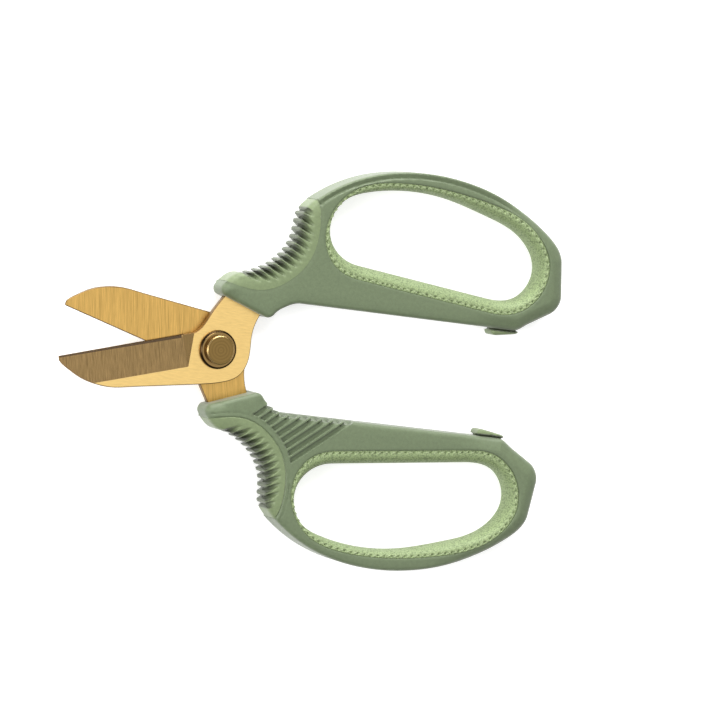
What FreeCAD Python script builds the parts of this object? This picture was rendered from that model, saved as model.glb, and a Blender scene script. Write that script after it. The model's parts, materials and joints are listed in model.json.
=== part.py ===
import FreeCAD, Part
import Sketcher
import math
import os

# Floral snips: two matching halves that turn on one bolt.
# One half is drawn with its blade in front (+Z) and its handle on the +Y side; the other
# half is the same drawing turned over about the X axis.  Lengths are in millimetres,
# and outlines are drawn with the pivot at 0, 0 and the mating plane of the blades at z = 0.

os.makedirs("parts", exist_ok=True)
doc = FreeCAD.newDocument("floral_snips")
V = FreeCAD.Vector

# ---------------------------------------------------------------- driving dimensions
DRIVING = [
    ("front_reach", 55.4, "pivot to blade tip along X"),
    ("loop_reach", 124.9, "pivot to far end of the finger loop along X"),
    ("handle_depth", 12.4, "thickness of a moulded handle"),
    ("handle_round", 1.8, "rounding along the outer edges of a handle"),
    ("blade_stock", 2.4, "thickness of a blade"),
    ("blade_gap", 0.3, "clearance between the two blades"),
    ("edge_land", 0.35, "metal left at the ground edge"),
    ("grind_width", 11.5, "width of the ground bevel"),
    ("hone_width", 1.2, "width of the honed strip along the edge"),
    ("liner_depth", 11.8, "thickness of a loop liner"),
    ("liner_round", 2.1, "rounding of a liner where fingers enter"),
    ("tongue_depth", 6.8, "thickness of the core inside the finger pad"),
    ("peg_across", 3.2, "moulded pegs that lock the tang"),
    ("fin_pitch", 2.48, "spacing of the fins on the finger pad"),
    ("fin_gap", 1.25, "width of the gaps between fins"),
    ("fin_depth", 3.4, "depth of the gaps between fins"),
    ("rib_pitch", 2.58, "spacing of the slanted ribs on a handle face"),
    ("rib_gap", 1.2, "width of the grooves between those ribs"),
    ("rib_depth", 0.6, "depth of the grooves between those ribs"),
    ("stop_length", 10.5, "length of a closing stop"),
    ("stop_width", 7.6, "size of a closing stop across the handle"),
    ("stop_seat", 3.6, "depth of a closing stop measured from its face"),
    ("head_across", 9.9, "bolt head"),
    ("head_height", 1.9, "bolt head above the domed washer"),
    ("head_chamfer", 0.35, "chamfer of the bolt head"),
    ("ring_across", 13.3, "domed washer"),
    ("ring_height", 1.5, "domed washer"),
    ("ring_round", 1.1, "rounded shoulder of the domed washer"),
    ("key_across", 6.5, "keyed shank in the front blade"),
    ("journal_across", 5.2, "round journal in the rear blade"),
    ("thread_across", 5.0, "threaded end"),
    ("running_fit", 0.05, "radial clearance of the rear blade on the journal"),
    ("key_fit", 0.05, "clearance of the keyed shank"),
    ("axial_play", 0.1, "play between rear blade and rear washer"),
    ("washer_across", 11.0, "rear washer"),
    ("washer_height", 0.5, "rear washer"),
    ("spring_height", 0.55, "conical spring washer, as assembled"),
    ("spring_stock", 0.35, "sheet of the conical spring washer"),
    ("nut_flats", 8.0, "lock nut across flats"),
    ("nut_height", 2.3, "lock nut"),
    ("ring_in_nut", 0.8, "height of the nylon ring"),
]
DERIVED = [
    ("pivot_x", "=(front_reach - loop_reach) / 2", "puts the middle of the box at X = 0"),
    ("mid_z", "=handle_depth / 2", "lifts the part on to the ground plane"),
    ("blade_mid", "=(blade_gap + blade_stock) / 2", "middle plane of a blade"),
    ("blade_top", "=blade_gap / 2 + blade_stock", "outer face of a blade"),
    ("washer_top", "=-(blade_top + axial_play)", "upper face of the rear washer"),
    ("spring_top", "=washer_top - washer_height", "upper face of the spring washer"),
    ("nut_top", "=spring_top - spring_height", "upper face of the nut"),
    ("nut_base", "=nut_top - nut_height", "lower face of the nut"),
]

sheet = doc.addObject("Spreadsheet::Sheet", "Sizes")
for row, (alias, value, note) in enumerate(DRIVING + DERIVED, start=1):
    sheet.set(f"A{row}", alias)
    sheet.set(f"B{row}", str(value))
    sheet.set(f"C{row}", note)
    sheet.setAlias(f"B{row}", alias)
doc.recompute()


def size(alias):
    """Number held by a named cell of the sheet."""
    return float(sheet.get(alias))


# ---------------------------------------------------------------- drawing helpers
def heading(degrees):
    """Unit vector in the drawing plane."""
    angle = math.radians(degrees)
    return V(math.cos(angle), math.sin(angle), 0)


class Outline:
    """Draws a closed outline into a sketch as straight runs and smooth curves."""

    def __init__(self, sketch, x, y):
        self.sketch = sketch
        self.first = V(x, y, 0)
        self.last = self.first
        self.going = None

    def add(self, piece, end, going):
        self.sketch.addGeometry(piece, False)
        self.last, self.going = end, going
        return self

    def line(self, x, y):
        end = V(x, y, 0)
        return self.add(Part.LineSegment(self.last, end), end, end - self.last)

    def arc(self, via, end):
        end = V(*end, 0)
        piece = Part.Arc(self.last, V(*via, 0), end)
        return self.add(piece, end, piece.tangent(piece.LastParameter)[0])

    def curve(self, points, towards=None, leave=None):
        """Smooth curve through the points.

        It carries on from the piece before unless it is told a heading to leave by, and it
        ends towards a heading in degrees or towards the point where the next run ends.
        """
        through = [self.last] + [V(x, y, 0) for x, y in points]
        start = self.going if leave is None else heading(leave)
        if isinstance(towards, tuple):
            finish = V(*towards, 0) - through[-1]
        else:
            finish = heading(towards)
        along = [0.0]
        for a, b in zip(through, through[1:]):
            along.append(along[-1] + (b - a).Length)
        piece = Part.BSplineCurve()
        piece.interpolate(Points=through, Parameters=along, Scale=False,
                          InitialTangent=V(start).normalize(),
                          FinalTangent=V(finish).normalize())
        return self.add(piece, through[-1], finish)

    def close(self):
        return self.line(self.first.x, self.first.y)


def new_body(name, turned=False):
    """Body whose drawing origin is the pivot; a turned body is flipped about X."""
    body = doc.addObject("PartDesign::Body", name)
    body.Label = name
    flip = FreeCAD.Rotation(V(1, 0, 0), 180 if turned else 0)
    body.Placement = FreeCAD.Placement(V(size("pivot_x"), 0, size("mid_z")), flip)
    body.setExpression(".Placement.Base.x", "Sizes.pivot_x * 1mm")
    body.setExpression(".Placement.Base.z", "Sizes.mid_z * 1mm")
    return body


def new_sketch(body, name, lift=None, plane="XY_Plane"):
    """Sketch on a plane of the body's origin, lifted by an expression if one is given."""
    sketch = body.newObject("Sketcher::SketchObject", f"{body.Name}_{name}")
    support = next(item for item in body.Origin.OriginFeatures if item.Role == plane)
    sketch.AttachmentSupport = [(support, "")]
    sketch.MapMode = "FlatFace"
    if lift:
        sketch.setExpression(".AttachmentOffset.Base.z", f"({lift}) * 1mm")
    return sketch


def circle(sketch, alias, x=0.0, y=0.0, extra=""):
    """Circle whose diameter follows a cell of the sheet."""
    index = sketch.addGeometry(Part.Circle(V(x, y, 0), V(0, 0, 1), size(alias) / 2), False)
    sketch.addConstraint(Sketcher.Constraint("DistanceX", -1, 1, index, 3, x))
    sketch.addConstraint(Sketcher.Constraint("DistanceY", -1, 1, index, 3, y))
    rule = sketch.addConstraint(Sketcher.Constraint("Diameter", index, size(alias)))
    sketch.setExpression(f"Constraints[{rule}]", f"(Sizes.{alias}{extra}) * 1mm")


def pad(body, sketch, length, both_ways=True):
    """Pad by an expression, both ways from the sketch or upwards from it."""
    feature = body.newObject("PartDesign::Pad", f"{sketch.Name}_pad")
    feature.Profile = sketch
    feature.SideType = "Symmetric" if both_ways else "One side"
    feature.setExpression("Length", f"({length}) * 1mm")
    sketch.Visibility = False
    body.Tip = feature
    return feature


def pocket(body, sketch, length):
    """Pocket by an expression, half of it on each side of the sketch."""
    feature = body.newObject("PartDesign::Pocket", f"{sketch.Name}_pocket")
    feature.Profile = sketch
    feature.SideType = "Symmetric"
    feature.setExpression("Length", f"({length}) * 1mm")
    sketch.Visibility = False
    body.Tip = feature
    return feature


def soften(body, feature, alias, wanted):
    """Fillet the edges of the feature that pass the test, by a radius in the sheet."""
    doc.recompute()
    names = [f"Edge{number}" for number, edge in enumerate(feature.Shape.Edges, start=1)
             if wanted(edge)]
    fillet = body.newObject("PartDesign::Fillet", f"{feature.Name}_round")
    fillet.Base = (feature, names)
    fillet.setExpression("Radius", f"Sizes.{alias} * 1mm")
    body.Tip = fillet
    return fillet


def on_face(height):
    """Test for edges that lie flat at plus or minus the given height."""
    def test(edge):
        box = edge.BoundBox
        flat = box.ZLength < 0.001
        return flat and abs(abs(box.Center.z) - height) < 0.001
    return test


# ---------------------------------------------------------------- outlines of one half
CLOSING = 9.2           # degrees each half turns from rest until the stops meet
FIN_HEADING = -32       # degrees, from the tip of a fin inwards
RIB_HEADING = -38       # degrees, from the finger pad to the inner edge
FIN_COUNT = 14
RIB_COUNT = 8
FIRST_FIN = 25.2        # place of the first fin across the fins
FIRST_RIB = 27.7        # place of the first rib across the ribs
PEGS = [(10.3, 18.6), (21.3, 24.0)]


def hollow(across, inset=0.0):
    """Point on the line of fin tips, or the given distance inside it."""
    reach = -1.8 - (across - 42.4) ** 2 / 36 + inset
    point = heading(FIN_HEADING) * reach + heading(FIN_HEADING + 90) * across
    return point.x, point.y


def draw_handle(sketch):
    """Outer outline: collar, finger hollow, arch, far end and inner edge."""
    far = size("loop_reach")
    shape = Outline(sketch, 15.0, 13.0)
    shape.line(-0.6, 18.6)
    shape.curve([(-1.9, 21.6)], towards=65)
    shape.curve([(0.1, 24.4), (3.6, 26.8), hollow(27.4)], towards=18)
    shape.curve([hollow(34), hollow(41), hollow(48), hollow(54.4)], towards=80)
    shape.curve([(25.4, 52.3), (29.4, 56.2), (42.6, 64.0), (60.8, 68.5), (78.8, 68.3),
                 (98.3, 63.5), (115.6, 54.2), (far - 1.6, 44.5)], towards=(far - 0.1, 32.9))
    shape.line(far - 0.1, 32.9)
    shape.curve([(far - 3.5, 26.3)], towards=(113.6, 21.8))
    shape.line(113.6, 21.8)
    shape.curve([(108.3, 19.0)], towards=180)
    shape.line(27.1, 19.0)
    shape.curve([(22.1, 17.4), (17.9, 14.1)], towards=236)
    shape.curve([(15.0, 13.0)], towards=(-0.6, 18.6))


def draw_seam(sketch):
    """Seam between the moulded core and the liner of the loop."""
    shape = Outline(sketch, 93.8, 24.4)
    shape.line(47.3, 29.5)
    shape.curve([(37.8, 32.9), (32.7, 41.0), (33.6, 51.0), (41.1, 60.0), (53.3, 64.0),
                 (68.8, 64.7), (90.8, 62.0), (109.3, 55.0), (117.8, 43.0), (114.6, 30.5),
                 (104.8, 24.2), (93.8, 24.4)], towards=(47.3, 29.5))


def draw_loop(sketch):
    """Opening for the fingers at half depth."""
    shape = Outline(sketch, 97.8, 28.8)
    shape.line(47.8, 34.4)
    shape.curve([(39.8, 37.6), (34.9, 45.5), (37.4, 54.3), (47.1, 59.5), (58.8, 61.7),
                 (76.8, 61.3), (94.3, 57.0), (108.8, 50.8), (115.2, 40.2), (110.1, 31.0),
                 (97.8, 28.8)], towards=(47.8, 34.4))


def draw_pad_region(sketch):
    """Corner of the handle that belongs to the finger pad."""
    shape = Outline(sketch, -5.7, 24.8)
    shape.curve([(0.7, 23.1), (5.2, 22.2), (10.8, 21.9), (16.4, 23.3), (21.8, 26.7),
                 (26.0, 31.0), (29.0, 37.0), (30.0, 44.0), (28.7, 53.5), (25.8, 60.0)],
                towards=115, leave=-16)
    shape.line(-5.7, 60.0)
    shape.close()


def draw_outside_pad(sketch):
    """Everything but the finger pad."""
    draw_pad_region(sketch)
    frame = Outline(sketch, -20.0, 0.0)
    frame.line(140.0, 0.0).line(140.0, 90.0).line(-20.0, 90.0).close()


def draw_tongue(sketch):
    """Core carried on inside the finger pad."""
    shape = Outline(sketch, 2.8, 20.0)
    shape.line(3.4, 23.4)
    shape.curve([hollow(across, 4.4) for across in (27, 34, 41, 48, 54)],
                towards=95, leave=14)
    shape.line(30.7, 47.7).line(30.7, 38.0).line(24.8, 27.0).line(14.8, 20.5).close()


def draw_fin_gaps(sketch):
    """Round-ended gaps between the fins, open to the outside; the end ones are shallower."""
    inward = heading(FIN_HEADING)
    aside = heading(FIN_HEADING + 90) * (size("fin_gap") / 2)
    for gap in range(FIN_COUNT - 1):
        across = FIRST_FIN + size("fin_pitch") * (gap + 0.5)
        at_end = gap in (0, FIN_COUNT - 2)
        depth = size("fin_depth") * (0.7 if at_end else 1.0)
        mouth = V(*hollow(across, -3.0), 0)
        floor = V(*hollow(across, depth - size("fin_gap") / 2), 0)
        tip = floor + inward * (size("fin_gap") / 2)
        shape = Outline(sketch, *(mouth + aside)[:2])
        shape.line(*(floor + aside)[:2])
        shape.arc(tip[:2], (floor - aside)[:2])
        shape.line(*(mouth - aside)[:2])
        shape.close()


def draw_rib_grooves(sketch):
    """Grooves on both sides of each slanted rib, run out over the inner edge."""
    onward = heading(RIB_HEADING)
    sideways = heading(RIB_HEADING + 90)
    aside = sideways * (size("rib_gap") / 2)
    for groove in range(RIB_COUNT + 1):
        across = FIRST_RIB + size("rib_pitch") * (groove - 0.5)
        start = onward * (3.1 - (across - 40.5) ** 2 / 45) + sideways * across
        end = onward * ((start.y - 14.0) / math.sin(math.radians(-RIB_HEADING))) + start
        shape = Outline(sketch, *(start + aside)[:2])
        shape.line(*(end + aside)[:2])
        shape.line(*(end - aside)[:2])
        shape.line(*(start - aside)[:2])
        shape.close()


def draw_stop(sketch):
    """Closing stop, with its face on the line through the pivot where the stops meet."""
    along = heading(CLOSING)
    up = heading(CLOSING + 90)
    near = along * 101.6
    far = near + along * size("stop_length")
    back = up * size("stop_seat")
    shape = Outline(sketch, *near[:2])
    shape.line(*far[:2]).line(*(far + back)[:2]).line(*(near + back)[:2]).close()


def draw_blade(sketch):
    """Blade with its heel and the tang that goes into the handle."""
    reach = size("front_reach")
    shape = Outline(sketch, -9.1, 4.7)
    shape.line(-reach, -8.6)
    shape.line(-reach + 0.3, -10.0)
    shape.curve([(-51.9, -12.4), (-47.4, -14.8), (-41.6, -16.5), (-35.2, -16.9),
                 (-28.2, -15.9)], towards=(-5.4, -12.6), leave=-52)
    shape.line(-5.4, -12.6)
    shape.curve([(3.3, -10.9), (9.2, -7.9), (11.9, -1.6), (11.9, 6.4), (13.4, 12.4)],
                towards=66)
    shape.curve([(16.2, 17.4), (20.8, 20.4), (27.3, 22.0)], towards=8)
    shape.line(26.4, 28.0)
    shape.curve([(17.8, 25.4), (8.8, 22.8), (2.3, 20.6), (-0.2, 18.0)], towards=240, leave=196)
    shape.curve([(-3.4, 12.8), (-6.3, 7.3), (-9.1, 4.7)], towards=205)


def draw_blade_round_pegs(sketch):
    """Room for the blade in the moulding, with the pegs left standing."""
    draw_blade(sketch)
    for x, y in PEGS:
        circle(sketch, "peg_across", x, y)


def draw_key(sketch, fit):
    """Round shank with two flats; fit is the play on every side."""
    radius = size("key_across") / 2 + fit
    flat = size("journal_across") / 2 + fit
    half = math.sqrt(radius ** 2 - flat ** 2)
    shape = Outline(sketch, -half, flat)
    shape.line(half, flat)
    shape.arc((radius, 0), (half, -flat))
    shape.line(-half, -flat)
    shape.arc((-radius, 0), (-half, flat))


# ---------------------------------------------------------------- pieces of one half
def grind(body, name, stations):
    """Cut along the edge; a station is its edge, its back and a corner above the edge."""
    over, height = 1.0, 8.0
    sketches = []
    for number, (edge, back, above) in enumerate(stations, start=1):
        sketch = new_sketch(body, f"{name}{number}")
        sketch.MapMode = "Deactivated"
        along = edge - back
        wide = along.Length
        along.normalize()
        up = above - edge
        up = up - along * up.dot(along)
        up.normalize()
        turn = FreeCAD.Rotation(along, up, along.cross(up), "XYZ")
        sketch.Placement = FreeCAD.Placement(edge, turn)
        shape = Outline(sketch, -wide, 0)
        shape.line(over, 0).line(over, height).line(-wide, height).close()
        sketch.Visibility = False
        sketches.append(sketch)
    cut = body.newObject("PartDesign::SubtractiveLoft", f"{body.Name}_{name}")
    cut.Profile = sketches[0]
    cut.Sections = sketches[1:]
    cut.Ruled = True
    body.Tip = cut


def make_blade(name, turned, keyed):
    body = new_body(name, turned)
    outline = new_sketch(body, "outline", "Sizes.blade_mid")
    draw_blade(outline)
    pad(body, outline, "Sizes.blade_stock")

    top = size("blade_top")
    low = size("blade_gap") / 2 + size("edge_land")
    wide = size("grind_width")
    rise = 13.3 / 46.3                       # slope of the cutting edge

    beyond, end, heel = -60.0, -12.5, -9.65   # past the tip, end of the edge, end of the back

    def edge(x, height):
        return V(x, 4.7 + (x + 9.1) * rise, height)

    def back(x, width, height):
        return edge(x, height) - V(0, width, 0)

    grind(body, "bevel", [
        (edge(beyond, low), back(beyond, wide - 0.3, top), edge(beyond, top)),
        (edge(end, low), back(heel, wide, top), edge(-9.1, top)),
    ])
    hone = size("hone_width")
    drop = (top - low) / wide
    clear = low + 0.02                       # keeps the back of the strip out of the bevel
    grind(body, "hone", [
        (edge(beyond, low - 0.25), back(beyond, hone / 2, clear + drop * hone / 2),
         edge(beyond, top)),
        (edge(end, low - 0.25), back(end, hone, clear + drop * hone), edge(end, top)),
    ])
    bore = new_sketch(body, "bore", "Sizes.blade_mid")
    if keyed:
        draw_key(bore, size("key_fit"))
    else:
        circle(bore, "journal_across", extra=" + 2 * Sizes.running_fit")
    for x, y in PEGS:
        circle(bore, "peg_across", x, y)
    pocket(body, bore, "Sizes.blade_stock + 2")


def make_core(name, turned):
    body = new_body(name, turned)
    outline = new_sketch(body, "outline")
    draw_handle(outline)
    block = pad(body, outline, "Sizes.handle_depth")
    soften(body, block, "handle_round", on_face(size("handle_depth") / 2))
    through = "Sizes.handle_depth + 2"
    for label, draw, lift, length in [
        ("pad_region", draw_pad_region, None, through),
        ("tongue", draw_tongue, None, "Sizes.tongue_depth"),
        ("loop", draw_seam, None, through),
        ("socket", draw_blade_round_pegs, "Sizes.blade_mid", "Sizes.blade_stock"),
        ("stop_seat", draw_stop, None, "Sizes.stop_width"),
        ("grooves", draw_rib_grooves, "-Sizes.handle_depth / 2", "2 * Sizes.rib_depth"),
    ]:
        sketch = new_sketch(body, label, lift)
        draw(sketch)
        build = pad if label == "tongue" else pocket
        build(body, sketch, length)


def make_liner(name, turned):
    body = new_body(name, turned)
    ring = new_sketch(body, "ring")
    draw_seam(ring)
    block = pad(body, ring, "Sizes.liner_depth")
    loop = new_sketch(body, "loop")
    draw_loop(loop)
    hole = pocket(body, loop, "Sizes.liner_depth + 2")
    doc.recompute()
    rim = on_face(size("liner_depth") / 2)
    seam_edges = [edge.CenterOfMass for edge in block.Shape.Edges if rim(edge)]

    def inner_rim(edge):
        return rim(edge) and all((edge.CenterOfMass - seam).Length > 0.5 for seam in seam_edges)

    soften(body, hole, "liner_round", inner_rim)


def make_pad(name, turned):
    body = new_body(name, turned)
    outline = new_sketch(body, "outline")
    draw_handle(outline)
    block = pad(body, outline, "Sizes.handle_depth")
    soften(body, block, "handle_round", on_face(size("handle_depth") / 2))
    for label, draw, length in [
        ("trim", draw_outside_pad, "Sizes.handle_depth + 2"),
        ("fins", draw_fin_gaps, "Sizes.handle_depth + 2"),
        ("tongue", draw_tongue, "Sizes.tongue_depth"),
    ]:
        sketch = new_sketch(body, label)
        draw(sketch)
        pocket(body, sketch, length)


def make_stop(name, turned):
    body = new_body(name, turned)
    outline = new_sketch(body, "outline")
    draw_stop(outline)
    pad(body, outline, "Sizes.stop_width")


# ---------------------------------------------------------------- pieces of the pivot
def disc(body, name, alias, base, height, extra=""):
    """Round step that rises from a base level; all three follow the sheet."""
    sketch = new_sketch(body, name, base)
    circle(sketch, alias, extra=extra)
    return pad(body, sketch, height, both_ways=False)


def drill(body, name, alias, extra=""):
    """Round hole right through a piece of the pivot."""
    sketch = new_sketch(body, name)
    circle(sketch, alias, extra=extra)
    pocket(body, sketch, "2 * Sizes.handle_depth")


def make_front_washer():
    body = new_body("front_washer")
    ring = disc(body, "ring", "ring_across", "Sizes.blade_top", "Sizes.ring_height")
    crown = size("blade_top") + size("ring_height")
    soften(body, ring, "ring_round", on_face(crown))
    drill(body, "bore", "key_across", " + 2 * Sizes.key_fit")


def make_bolt():
    body = new_body("pivot_bolt")
    shoulder = "Sizes.blade_top + Sizes.ring_height"
    shank = new_sketch(body, "shank", "Sizes.blade_gap / 2")
    draw_key(shank, 0.0)
    pad(body, shank, "Sizes.blade_stock + Sizes.ring_height", both_ways=False)
    disc(body, "journal", "journal_across", "Sizes.washer_top",
         "-Sizes.washer_top + Sizes.blade_gap")
    disc(body, "thread", "thread_across", "Sizes.nut_base",
         "Sizes.washer_top - Sizes.nut_base")
    head = disc(body, "head", "head_across", shoulder, "Sizes.head_height")
    doc.recompute()
    crown = size("blade_top") + size("ring_height") + size("head_height")
    top = on_face(crown)
    chamfer = body.newObject("PartDesign::Chamfer", "pivot_bolt_chamfer")
    chamfer.Base = (head, [f"Edge{number}" for number, edge
                           in enumerate(head.Shape.Edges, start=1) if top(edge)])
    chamfer.setExpression("Size", "Sizes.head_chamfer * 1mm")
    body.Tip = chamfer


def make_rear_washer():
    body = new_body("rear_washer")
    disc(body, "ring", "washer_across", "Sizes.spring_top", "Sizes.washer_height")
    drill(body, "bore", "thread_across")


def make_spring_washer():
    """Cone of thin sheet, wide end up."""
    body = new_body("spring_washer")
    sketch = new_sketch(body, "profile", plane="XZ_Plane")
    bore = size("thread_across") / 2 + 0.1
    rim = size("nut_flats") / 2 + 0.4
    top, stock = size("spring_top"), size("spring_stock")
    shape = Outline(sketch, bore, size("nut_top"))
    shape.line(rim, top - stock).line(rim, top)
    shape.line(bore, size("nut_top") + stock).close()
    turn = body.newObject("PartDesign::Revolution", "spring_washer_turn")
    turn.Profile = sketch
    turn.ReferenceAxis = (sketch, ["V_Axis"])
    turn.Angle = 360
    sketch.Visibility = False
    body.Tip = turn


def make_nut():
    body = new_body("pivot_nut")
    sketch = new_sketch(body, "hexagon", "Sizes.nut_base")
    corner = size("nut_flats") / 2 / math.cos(math.radians(30))
    corners = [heading(60 * number) * corner for number in range(6)]
    shape = Outline(sketch, *corners[0][:2])
    for point in corners[1:]:
        shape.line(*point[:2])
    shape.close()
    pad(body, sketch, "Sizes.nut_height", both_ways=False)
    drill(body, "bore", "thread_across")
    seat = new_sketch(body, "seat", "Sizes.nut_base")
    circle(seat, "thread_across", extra=" + 1.4")
    pocket(body, seat, "2 * Sizes.ring_in_nut")


def make_nut_ring():
    body = new_body("nut_ring")
    disc(body, "ring", "thread_across", "Sizes.nut_base", "Sizes.ring_in_nut", " + 1.4")
    drill(body, "bore", "thread_across")


# ---------------------------------------------------------------- build and write
for side, turned in (("upper", False), ("lower", True)):
    make_blade("rear_blade" if turned else "front_blade", turned, keyed=not turned)
    make_core(f"{side}_core", turned)
    make_liner(f"{side}_liner", turned)
    make_pad(f"{side}_pad", turned)
    make_stop(f"{side}_stop", turned)
make_front_washer()
make_bolt()
make_rear_washer()
make_spring_washer()
make_nut()
make_nut_ring()
doc.recompute()

for item in doc.Objects:
    if "Invalid" in item.State or "Error" in item.State:
        raise RuntimeError(f"{item.Label} did not build: {item.State}")
for body in doc.findObjects("PartDesign::Body"):
    shape = body.Shape
    if shape.isNull() or not shape.isValid():
        raise RuntimeError(f"{body.Label} has no valid shape")
    shape.exportStep(f"parts/{body.Label}.step")
    print(f"{body.Label}: {shape.Volume:.0f} mm3 in {len(shape.Solids)} solid(s)")
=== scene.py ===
import json
import math

import bmesh
import bpy
import numpy as np
from mathutils import Matrix, Vector
from mathutils.geometry import delaunay_2d_cdt


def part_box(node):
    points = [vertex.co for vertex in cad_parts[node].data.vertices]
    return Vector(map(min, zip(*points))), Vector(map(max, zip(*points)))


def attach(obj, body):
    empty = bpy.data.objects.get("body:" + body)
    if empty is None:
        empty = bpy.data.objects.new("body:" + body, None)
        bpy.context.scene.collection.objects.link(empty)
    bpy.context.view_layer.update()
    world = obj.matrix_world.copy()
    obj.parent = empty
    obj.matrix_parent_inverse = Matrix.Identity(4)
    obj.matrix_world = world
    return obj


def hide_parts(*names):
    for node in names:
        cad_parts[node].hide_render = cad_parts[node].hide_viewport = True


# Looks of the floral snips.  Both halves are the same drawing, so each piece is worked out
# in one half frame: millimetres from the pivot, z up from the middle plane.  The lower half
# is that drawing turned over about X, so its visible side is the drawing's ribbed underside.

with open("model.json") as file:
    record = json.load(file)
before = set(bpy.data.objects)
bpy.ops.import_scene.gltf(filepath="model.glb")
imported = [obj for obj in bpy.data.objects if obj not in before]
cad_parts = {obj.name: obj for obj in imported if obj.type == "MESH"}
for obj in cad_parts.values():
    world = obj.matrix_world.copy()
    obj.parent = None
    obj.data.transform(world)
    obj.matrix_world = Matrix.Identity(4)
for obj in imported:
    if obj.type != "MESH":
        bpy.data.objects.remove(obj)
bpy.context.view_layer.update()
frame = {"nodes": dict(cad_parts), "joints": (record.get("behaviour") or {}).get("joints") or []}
MM = 0.001
PIVOT = Vector(frame["joints"][0]["pos_m"])
SIDES = (("upper", 1, "front_half"), ("lower", -1, "rear_half"))


def half_height(node):
    """Half the height of a node, in millimetres."""
    low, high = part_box(node)
    return (high.z - low.z) / MM / 2


FACE = half_height("upper_core")    # height of a handle face over the middle plane
SECTION = 0.65 * FACE               # height at which outlines are read
SAME_POINT = 0.02                   # outline points nearer than this are one point
TOUCHING = 0.12                     # outlines nearer than this share a border
CORNER = 30                         # a turn sharper than this, in degrees, is a corner


# ------------------------ outlines of the frame
def area(loop):
    """Area within a closed loop, negative for a clockwise one."""
    x, y = loop.T
    return 0.5 * np.sum(x * np.roll(y, -1) - np.roll(x, -1) * y)


def section(node, height):
    """Closed outlines of a node of the upper half, cut level at a height, in the half frame."""
    bm = bmesh.new()
    bm.from_mesh(frame["nodes"][node].data)
    bmesh.ops.remove_doubles(bm, verts=bm.verts, dist=1e-6)
    everything = bm.verts[:] + bm.edges[:] + bm.faces[:]
    cut = bmesh.ops.bisect_plane(bm, geom=everything, dist=1e-7,
                                 plane_co=PIVOT + Vector((0, 0, height * MM)),
                                 plane_no=(0, 0, 1))
    beside = {}
    for edge in cut["geom_cut"]:
        if isinstance(edge, bmesh.types.BMEdge):
            a, b = edge.verts
            beside.setdefault(a, []).append(b)
            beside.setdefault(b, []).append(a)
    loops = []
    while beside:
        here, before = next(iter(beside)), None
        loop = []
        while here in beside:
            loop.append(here)
            ahead = [v for v in beside.pop(here) if v is not before and v in beside]
            before, here = here, (ahead[0] if ahead else None)
        flat = np.array([[v.co.x - PIVOT.x, v.co.y - PIVOT.y] for v in loop]) / MM
        if area(flat) < 0:
            flat = flat[::-1]
        loops.append(flat)
    bm.free()
    return sorted(loops, key=area, reverse=True)


def turns(loop):
    """Signed turning angle at every point of a closed loop, in degrees."""
    ahead = np.roll(loop, -1, 0) - loop
    angle = np.degrees(np.arctan2(ahead[:, 1], ahead[:, 0]))
    return (angle - np.roll(angle, 1) + 180) % 360 - 180


def tidy(loop, least=SAME_POINT):
    """The loop without points that nearly coincide."""
    keep = np.hypot(*(np.roll(loop, -1, 0) - loop).T) > least
    return loop[keep]


def closed_line(loop):
    """The loop as an open line that ends where it starts."""
    return np.vstack([loop, loop[:1]])


def run_along(line):
    """Distance along an open line from its start to each of its points."""
    return np.append(0, np.cumsum(np.hypot(*np.diff(line, axis=0).T)))


def at_marks(marks, places, points):
    """Points read off at the marks, where each known point has a place on the same scale."""
    return np.column_stack([np.interp(marks, places, axis) for axis in points.T])


def along_line(line, step):
    """Even points along an open line, both ends included."""
    run = run_along(line)
    marks = np.linspace(0, run[-1], max(1, round(run[-1] / step)) + 1)
    return at_marks(marks, run, line)


def resample(loop, step):
    """Even points along a closed loop; sharp corners stay where they are."""
    loop = tidy(loop)
    sharp = np.flatnonzero(np.abs(turns(loop)) > CORNER)
    if len(sharp) == 0:
        sharp = np.array([0])
    line = closed_line(np.roll(loop, -sharp[0], 0))
    sharp = np.append(sharp - sharp[0], len(loop))
    return np.vstack([along_line(line[a:b + 1], step)[:-1] for a, b in zip(sharp, sharp[1:])])


def relax(loop, passes):
    """Round off the corners of a closed, evenly sampled loop."""
    for _ in range(passes):
        middle = (np.roll(loop, 1, 0) + np.roll(loop, -1, 0)) / 2
        loop = (loop + middle) / 2
    return loop


def distance(points, line, closed=True):
    """Shortest distance from each point to a line of straight pieces."""
    batch = 1500                    # points worked on at a time, to spare memory
    start = line if closed else line[:-1]
    end = np.roll(line, -1, 0) if closed else line[1:]
    step = end - start
    size = np.maximum((step ** 2).sum(1), 1e-12)
    best = np.empty(len(points))
    for first in range(0, len(points), batch):
        some = points[first:first + batch]
        offset = some[:, None, :] - start[None, :, :]
        t = np.clip((offset * step).sum(2) / size, 0, 1)
        gap = offset - t[:, :, None] * step
        best[first:first + batch] = np.sqrt((gap ** 2).sum(2).min(1))
    return best


def inside(points, loop):
    """True for points within a closed loop."""
    x, y = points.T
    ends = np.roll(loop, -1, 0)
    crossings = np.zeros(len(points), int)
    for (ax, ay), (bx, by) in zip(loop, ends):
        if ay != by:
            spans = (ay > y) != (by > y)
            crossings += spans & (x < (bx - ax) * (y - ay) / (by - ay) + ax)
    return crossings % 2 == 1


def normals(loop):
    """Unit normals of a closed anticlockwise loop, pointing outwards."""
    ahead = np.roll(loop, -1, 0) - np.roll(loop, 1, 0)
    ahead /= np.maximum(np.hypot(*ahead.T), 1e-9)[:, None]
    return np.column_stack([ahead[:, 1], -ahead[:, 0]])


def longest_run(loop, marks):
    """The longest stretch of a closed loop where marks is true, in order."""
    count = len(marks)
    first = next(i for i in range(count) if not marks[i])
    found, run = [], []
    for i in range(first, first + count + 1):
        if marks[i % count]:
            run.append(i % count)
        elif run:
            found.append(run)
            run = []
    return loop[max(found, key=len)]


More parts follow.
